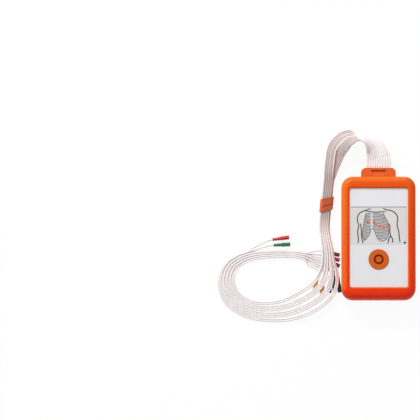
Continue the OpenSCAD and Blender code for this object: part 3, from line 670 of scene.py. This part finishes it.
BODY_LINES = [
    [(-6.8, 27.1), (-12.8, 25), (-17.4, 22.8), (-19.4, 19.3), (-19.6, 15.4), (-18.3, 11.1), (-19.4, 5.8),
     (-18.7, -1.3), (-19.2, -5.6)],
    [(4, 27.4), (6.7, 26), (12, 24.9), (15.9, 22.1), (17.6, 18.2), (17.1, 11.8), (18.5, 5.8), (19.1, 0.5),
     (19.8, -4.8)],
    [(-16.7, 13.2), (-16.2, 8.6), (-15.7, 0.5), (-14.4, -5.6)],
    [(9.1, 13.2), (10.4, 10.4), (10.2, 5.8), (10.9, 1.9), (9.1, -2.4), (8.6, -5.6)],
    [(10.9, 1.9), (13, -1.7), (12.5, -4.8)]]
CHEST_RIGHT = [(3.8, 23.5), (6.7, 17.5), (8.8, 13.2), (9.1, 2.2), (7, -1.7), (3.1, -3.6)]
CHEST_LEFT = [(-11.6, 23.5), (-13.2, 16), (-14.6, 8), (-14.9, 2), (-13.6, -2.4)]
COLLAR_BONES = [(-11.8, 24.7), (-6, 23.9), (-2, 23.7), (6.7, 24.2)]
MARGIN_RIGHT = [(-6.1, 9.3), (-3.3, 4.7), (-1.5, 0.1), (1.3, -3.1), (3.1, -3.6)]
MARGIN_LEFT = [(-6.9, 9.3), (-8, 4), (-10.4, 0), (-12.7, -2.7)]
MARGIN_TOP = 9.3
BREASTBONE = (-7.2, -5.8)
RIB_TOP, RIB_PITCH, RIB_ROWS, RIB_DROP = 22.3, 1.35, 19, 1
LEFT_RIBS_END = -2.4
RIB_LEAST = 1
ELECTRODES = [(-10, 14.5), (-4.3, 14.3), (-2.6, 12.2), (1, 10.6), (4.5, 9.3), (8.1, 10)]
RULE_LINE = [(-25.8, 28.35), (0, 28.35), (25.8, 28.35)]


def draw_rib(ink, y, inner, outer):
    if abs(outer - inner) > RIB_LEAST:
        ink.stroke([(inner, y), ((inner + outer) / 2, y + 0.1), (outer, y - RIB_DROP)], 0.72)


def print_figure():
    """A plain chest with the places of the electrodes, of this part's own drawing."""
    dark, pale, red = Print(), Print(), Print()
    for line in BODY_LINES:
        dark.stroke(line, 1.0)
    for line, width in ((CHEST_LEFT, 0.7), (CHEST_RIGHT, 0.7), (MARGIN_RIGHT, 0.6), (MARGIN_LEFT, 0.6),
                        (COLLAR_BONES, 1.1)):
        pale.stroke(line, width)
    for i in range(RIB_ROWS):
        y = RIB_TOP - RIB_PITCH * i
        left, right = (x_at(MARGIN_LEFT, y), x_at(MARGIN_RIGHT, y)) if y < MARGIN_TOP else BREASTBONE
        if y > LEFT_RIBS_END:
            draw_rib(pale, y, left, x_at(CHEST_LEFT, y - RIB_DROP))
        draw_rib(pale, y, right, x_at(CHEST_RIGHT, y - RIB_DROP))
    for x, y in ELECTRODES:
        red.disc(x, y, 1.25)
    pale.stroke(RULE_LINE, 0.5, 1)
    pale.make("print_ribs", 0.005, "ink_light")
    dark.make("print_outline", 0.015, "ink")
    red.make("print_dots", 0.03, "ink_red")


print_figure()

# ---- small solid details -------------------------------------------------------------------

BUMPER_W, BUMPER_L, BUMPER_R = 68.6, 114, 10.5
BUMPER_SEAM_Z = 12
HOOD_W = 32.2
CORNER_STEPS = 10
SEAM_PROFILE = [(-0.1, -0.16), (0.03, -0.1), (0.07, 0), (0.03, 0.1), (-0.1, 0.16)]
COLLAR_PROFILE = [(1.1, -0.2), (1.1, 0.15), (1.0, 0.4), (0.88, 0.4), (0.88, -0.2)]
COLLAR_SIDES = 20
DOME_SIDES = 40
MARK_LOOPS = [[(-3, -18), (3, -18), (0, -22.5)], [(-3, -16.2), (3, -16.2), (3, -16.9), (-3, -16.9)]]
MARK_ROOT, MARK_FACE, MARK_ROUND = 2.25, 2.02, 0.04


def bumper_corner(sx, sy):
    """One round corner of the bumper, clockwise seen from the front: points with their outward directions."""
    first = {(1, 1): 0, (-1, 1): 90, (-1, -1): 180, (1, -1): 270}[sx, sy]
    points = []
    for i in range(CORNER_STEPS, -1, -1):
        a = math.radians(first + 90 * i / CORNER_STEPS)
        points.append((sx * (BUMPER_W / 2 - BUMPER_R) + BUMPER_R * math.cos(a),
                       sy * (BUMPER_L / 2 - BUMPER_R) + BUMPER_R * math.sin(a), math.cos(a), math.sin(a)))
    return points


def make_parting_line():
    """The thin seam that the mould leaves round the bumper, from one side of the hood to the other."""
    start = HOOD_W / 2 + 0.3
    path = [(start, BUMPER_L / 2, 0, 1)]
    for sx, sy in ((1, 1), (1, -1), (-1, -1), (-1, 1)):
        path += bumper_corner(sx, sy)
    path.append((-start, BUMPER_L / 2, 0, 1))
    mesh = bmesh.new()
    rings = [[mesh.verts.new(((x + nx * a) * MM, (y + ny * a) * MM, (BUMPER_SEAM_Z + b) * MM))
              for a, b in SEAM_PROFILE] for x, y, nx, ny in path]
    bridge(mesh, rings)
    cap(mesh, rings)
    add_piece("bumper_seam", mesh_data(mesh, "bumper_seam"), "bumper")


def make_hood_comb():
    """Ten low collars where the wires leave the hood."""
    mesh = bmesh.new()
    for i in range(WIRES):
        x = (i - (WIRES - 1) / 2) * EXIT_PITCH
        rings = [[mesh.verts.new(((x + r * math.cos(a)) * MM, (EXIT_Y + y) * MM,
                                  (EXIT_Z + r * math.sin(a)) * MM)) for r, y in COLLAR_PROFILE]
                 for a in circle(COLLAR_SIDES)]
        bridge(mesh, rings, closed=True)
    add_piece("hood_comb", mesh_data(mesh, "hood_comb"), "hood")


def make_dome():
    """The rubber dome under the button, with a rounded rim and flank, which the button flattens; this mesh
    keeps one shape.
    """
    low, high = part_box("switch_dome")
    base, height = low[2] / MM, (high[2] - low[2]) / MM
    profile = [(0, height), (1.7, height), (2.2, height - 0.08), (2.5, height - 0.35), (4, 0.62), (4.3, 0.5),
               (5.3, 0.5), (5.4, 0.4), (5.4, 0), (3.8, 0), (1.9, height - 0.5), (0, height - 0.5)]
    mesh = bmesh.new()
    top, bottom = (mesh.verts.new((0, BUTTON_Y * MM, (base + z) * MM)) for r, z in profile if r == 0)
    rings = [[mesh.verts.new((r * math.cos(a) * MM, (BUTTON_Y + r * math.sin(a)) * MM, (base + z) * MM))
              for r, z in profile if r > 0] for a in circle(DOME_SIDES)]
    for one, two in zip(rings, rings[1:] + rings[:1]):
        mesh.faces.new((top, one[0], two[0]))
        mesh.faces.new((bottom, two[-1], one[-1]))
        for i in range(len(one) - 1):
            mesh.faces.new((one[i], one[i + 1], two[i + 1], two[i]))
    dome = add_piece("dome_skin", mesh_data(mesh, "dome_skin"), "dome")
    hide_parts("switch_dome")
    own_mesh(dome)


def make_door_mark():
    """The raised opening mark on the battery door, an arrow and a bar with rounded outer edges."""
    mesh = bmesh.new()
    for loop in MARK_LOOPS:
        rings = [[mesh.verts.new((x * MM, y * MM, z * MM)) for x, y in loop] for z in (MARK_ROOT, MARK_FACE)]
        cap(mesh, rings)
        bridge(mesh, rings)
    bmesh.ops.recalc_face_normals(mesh, faces=mesh.faces)
    outer = [e for e in mesh.edges if all(abs(v.co.z - MARK_FACE * MM) < 1e-9 for v in e.verts)]
    bmesh.ops.bevel(mesh, geom=outer, offset=MARK_ROUND * MM, segments=2, affect="EDGES")
    add_piece("door_mark", mesh_data(mesh, "door_mark"), "shell", "door")


make_parting_line()
make_hood_comb()
make_dome()
make_door_mark()

# ---- stage ---------------------------------------------------------------------------------

FLOOR_HALF = 3
FLOOR_DROP = 0.02 * MM     # keeps the floor from lying in the plane of the bumper's back
FLOOR_GLOW = 0.93          # how far the floor is white to the camera; the rest takes the shadow
FILL = 0.62
LAMP_AIM = Vector((-0.03, 0, 0))


def make_floor():
    mesh = bpy.data.meshes.new("floor")
    corners = [(sx * FLOOR_HALF, sy * FLOOR_HALF, 0) for sx, sy in ((-1, -1), (1, -1), (1, 1), (-1, 1))]
    mesh.from_pydata(corners, [], [(0, 1, 2, 3)])
    floor = bpy.data.objects.new("floor", mesh)
    floor.location.z = -FLOOR_DROP
    bpy.context.scene.collection.objects.link(floor)
    n = Nodes("floor_white")
    rays = n.add("LightPath")
    seen = n.maths("MAXIMUM", rays.outputs["Is Camera Ray"], rays.outputs["Is Glossy Ray"])
    mix = n.add("MixShader", Fac=n.maths("MULTIPLY", seen, FLOOR_GLOW))
    n.put(mix.inputs[1], n.add("BsdfDiffuse", Color=grey(0.9)).outputs[0])
    n.put(mix.inputs[2], n.add("Emission", Color=grey(1), Strength=1.0).outputs[0])
    n.put(n.output.inputs["Surface"], mix.outputs[0])
    mesh.materials.append(n.material)


def make_world():
    """White where it is seen, and a soft even fill everywhere else."""
    world = bpy.data.worlds.new("studio")
    bpy.context.scene.world = world
    world.use_nodes = True
    tree = world.node_tree
    tree.nodes.clear()
    out = tree.nodes.new("ShaderNodeOutputWorld")
    rays = tree.nodes.new("ShaderNodeLightPath")
    seen = tree.nodes.new("ShaderNodeMath")
    seen.operation = "MAXIMUM"
    tree.links.new(rays.outputs["Is Camera Ray"], seen.inputs[0])
    tree.links.new(rays.outputs["Is Transmission Ray"], seen.inputs[1])
    mix = tree.nodes.new("ShaderNodeMixShader")
    tree.links.new(seen.outputs[0], mix.inputs[0])
    for socket, strength in ((mix.inputs[1], FILL), (mix.inputs[2], 1)):
        light = tree.nodes.new("ShaderNodeBackground")
        light.inputs["Color"].default_value = (1, 1, 1, 1)
        light.inputs["Strength"].default_value = strength
        tree.links.new(light.outputs[0], socket)
    tree.links.new(mix.outputs[0], out.inputs["Surface"])


def make_lamp(name, direction, distance, size, power):
    data = bpy.data.lights.new(name, "AREA")
    data.shape = "DISK"
    data.size = size
    data.energy = power
    lamp = bpy.data.objects.new(name, data)
    bpy.context.scene.collection.objects.link(lamp)
    d = Vector(direction).normalized()
    lamp.location = LAMP_AIM + d * distance
    lamp.rotation_euler = d.to_track_quat("Z", "Y").to_euler()


make_floor()
make_world()
make_lamp("key", (-0.4, 0.7, 0.65), 1.6, 0.4, 18)
bpy.context.scene.view_settings.view_transform = "Standard"
